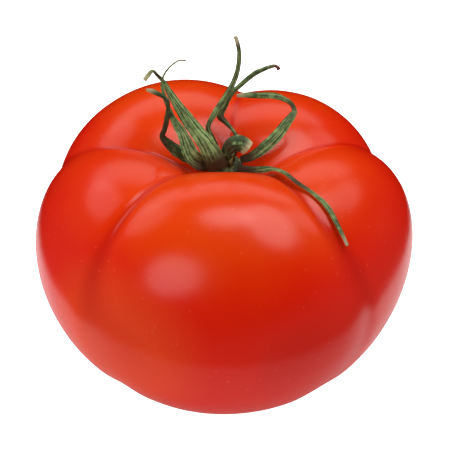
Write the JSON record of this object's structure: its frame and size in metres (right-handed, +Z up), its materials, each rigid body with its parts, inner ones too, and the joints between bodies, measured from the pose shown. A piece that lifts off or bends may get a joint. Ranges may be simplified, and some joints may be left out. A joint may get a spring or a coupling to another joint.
{
  "type": "tomato",
  "caption": "Ripe lobed beefsteak tomato, as picked, with narrow withered sepals and a short bent stub of stalk in its stem cavity.",
  "frame": {"origin": "middle of the flat spot that the fruit rests on, straight under its stem cavity", "axes": "+Z up along the axis of the fruit, which is its shortest side, -Y towards its largest lobe, +X to the right of that lobe"},
  "size_m": [0.0958, 0.0959, 0.0848],
  "materials": {
    "skin": "smooth waxy red tomato skin with a soft gloss",
    "sepal": "dull, ribbed, finely hairy green leaf, drying to brown",
    "stalk": "dull, finely hairy olive green stem"
  },
  "bodies": {
    "root": {"fruit": "skin", "stalk": "stalk", "sepal_front": "sepal", "sepal_front_left": "sepal", "sepal_left": "sepal", "sepal_back_left": "sepal", "sepal_back": "sepal", "sepal_right": "sepal", "sepal_front_right": "sepal"}
  },
  "joints": []
}
